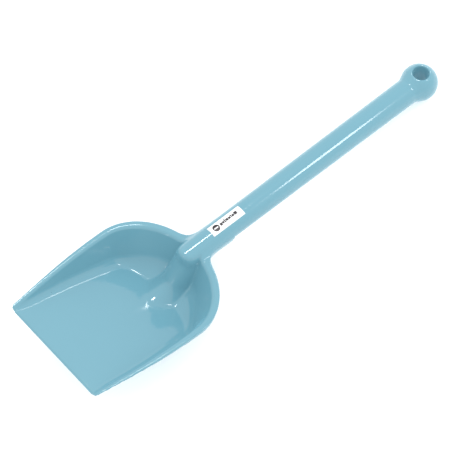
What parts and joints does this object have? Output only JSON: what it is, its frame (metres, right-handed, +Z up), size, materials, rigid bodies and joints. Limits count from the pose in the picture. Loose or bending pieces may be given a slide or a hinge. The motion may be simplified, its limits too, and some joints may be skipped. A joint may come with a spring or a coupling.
{
  "type": "sand scoop",
  "caption": "Children's beach sand scoop: tapering open pan with a turned-down rim, round hollow handle rooted in the back wall, ball end with a hanging hole, and a plain paper label.",
  "frame": {"origin": "on the surface that the scoop lies on, under the middle of its box", "axes": "+X along the scoop from the digging edge to the ball, +Z up, with the scoop lying on the heel of its pan and on its ball"},
  "size_m": [0.4084, 0.1186, 0.0535],
  "materials": {
    "plastic": "glossy, through-coloured light blue",
    "label": "white coated paper"
  },
  "bodies": {
    "root": {"scoop_pan": "plastic", "rim_left": "plastic", "rim_right": "plastic", "handle_root": "plastic", "handle_tube": "plastic", "ball_end": "plastic", "label": "label"}
  },
  "joints": []
}
